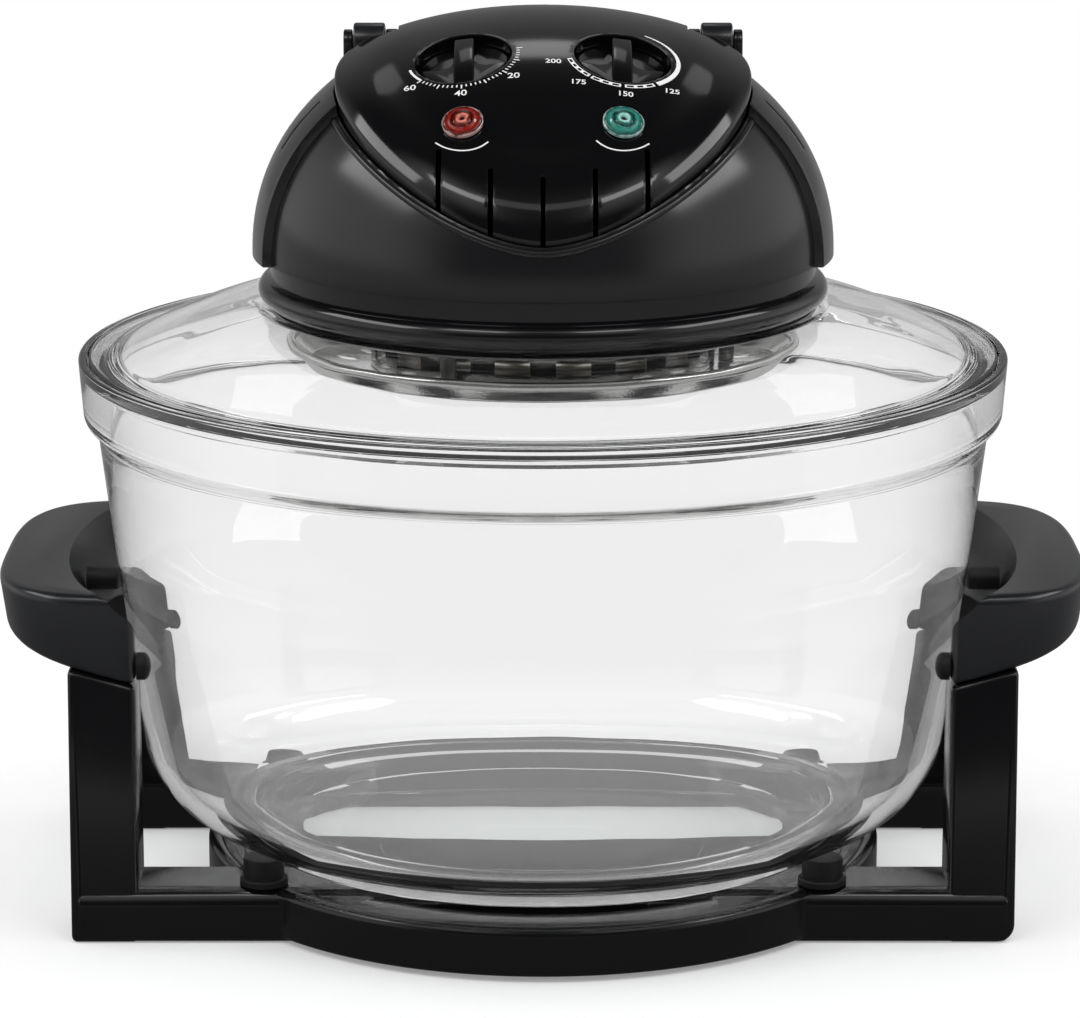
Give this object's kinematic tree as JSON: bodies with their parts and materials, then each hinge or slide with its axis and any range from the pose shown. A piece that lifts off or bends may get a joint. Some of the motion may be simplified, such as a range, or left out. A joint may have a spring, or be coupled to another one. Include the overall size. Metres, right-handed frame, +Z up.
{
  "type": "glass bowl convection cooker",
  "caption": "Countertop convection cooker: glass bowl in a stand with side handles, under a lift-off glass lid with a domed heating head, dials and a folding carry handle.",
  "frame": {"origin": "middle of the footprint on the worktop, under the bowl's centre line", "axes": "+Z up, -Y towards the user in front of the dials, +X to the user's right, across the two side handles"},
  "size_m": [0.392, 0.335, 0.3214],
  "materials": {
    "gloss_black": "high gloss",
    "satin_black": "satin",
    "rubber": "matt",
    "glass": "clear, polished",
    "quartz": "clear",
    "steel": "bright sheet",
    "spindle_steel": "turned",
    "ceramic": "white ceramic, matt",
    "casing": "moulded, matt",
    "motor_steel": "zinc coated",
    "red_lens": "faceted, clear red",
    "green_lens": "faceted, clear green"
  },
  "bodies": {
    "stand": {"stand_frame": "gloss_black", "side_handle_left": "gloss_black", "side_handle_right": "gloss_black", "post_buffer_front_left": "rubber", "post_buffer_front_right": "rubber", "post_buffer_rear_left": "rubber", "post_buffer_rear_right": "rubber", "handle_buffer_left": "rubber", "handle_buffer_right": "rubber", "rest_pad_front_left": "rubber", "rest_pad_front_right": "rubber", "rest_pad_rear_left": "rubber", "rest_pad_rear_right": "rubber"},
    "bowl": {"glass_bowl": "glass"},
    "lid": {"glass_lid": "glass", "lid_gasket": "rubber", "lower_housing": "gloss_black", "base_plate": "steel", "front_cover": "gloss_black", "rear_cover": "gloss_black", "control_panel": "gloss_black", "power_lamp": "red_lens", "heat_lamp": "green_lens", "timer_unit": "casing", "thermostat_unit": "casing", "safety_switch": "satin_black", "fan_motor": "motor_steel", "motor_bracket": "steel", "reflector_plate": "steel", "heater_cage": "steel", "guard_pan": "steel", "halogen_lamp": "quartz", "lamp_cap_left": "ceramic", "lamp_cap_right": "ceramic", "pan_spacer_1": "steel", "pan_spacer_2": "steel", "pan_spacer_3": "steel", "cord_gland": "rubber"},
    "timer_dial": {"timer_knob": "gloss_black", "timer_spindle": "spindle_steel"},
    "thermostat_dial": {"thermostat_knob": "gloss_black", "thermostat_spindle": "spindle_steel"},
    "bail": {"carry_handle": "gloss_black", "pivot_pin_left": "spindle_steel", "pivot_pin_right": "spindle_steel"},
    "button": {"switch_button": "satin_black"},
    "fan": {"fan_shaft": "spindle_steel", "cooling_fan": "satin_black", "convection_fan": "steel"}
  },
  "joints": [
    {"name": "bowl_lift", "type": "slide", "parent": "stand", "child": "bowl", "axis": [0, 0, 1], "range_m": [0, 0.15]},
    {"name": "lid_lift", "type": "slide", "parent": "bowl", "child": "lid", "axis": [0, 0, 1], "range_m": [0, 0.25]},
    {"name": "timer_turn", "type": "hinge", "parent": "lid", "child": "timer_dial", "pos_m": [-0.028, -0.0326, 0.30968], "axis": [0.1372, 0.3612, -0.9223], "range_deg": [0, 300]},
    {"name": "thermostat_turn", "type": "hinge", "parent": "lid", "child": "thermostat_dial", "pos_m": [0.028, -0.0326, 0.30968], "axis": [-0.1372, 0.3612, -0.9223], "range_deg": [0, 270]},
    {"name": "handle_raise", "type": "hinge", "parent": "lid", "child": "bail", "pos_m": [0, 0.0135, 0.3085], "axis": [1, 0, 0], "range_deg": [0, 102]},
    {"name": "button_rise", "type": "slide", "parent": "lid", "child": "button", "axis": [0, 0, 1], "range_m": [0, 0.001]},
    {"name": "fan_spin", "type": "hinge", "parent": "lid", "child": "fan", "pos_m": [0, 0, 0.25], "axis": [0, 0, 1], "continuous": true}
  ],
  "couplings": [
    {"joint": "button_rise", "follows": "handle_raise", "m_per_rad": 0.00056}
  ]
}
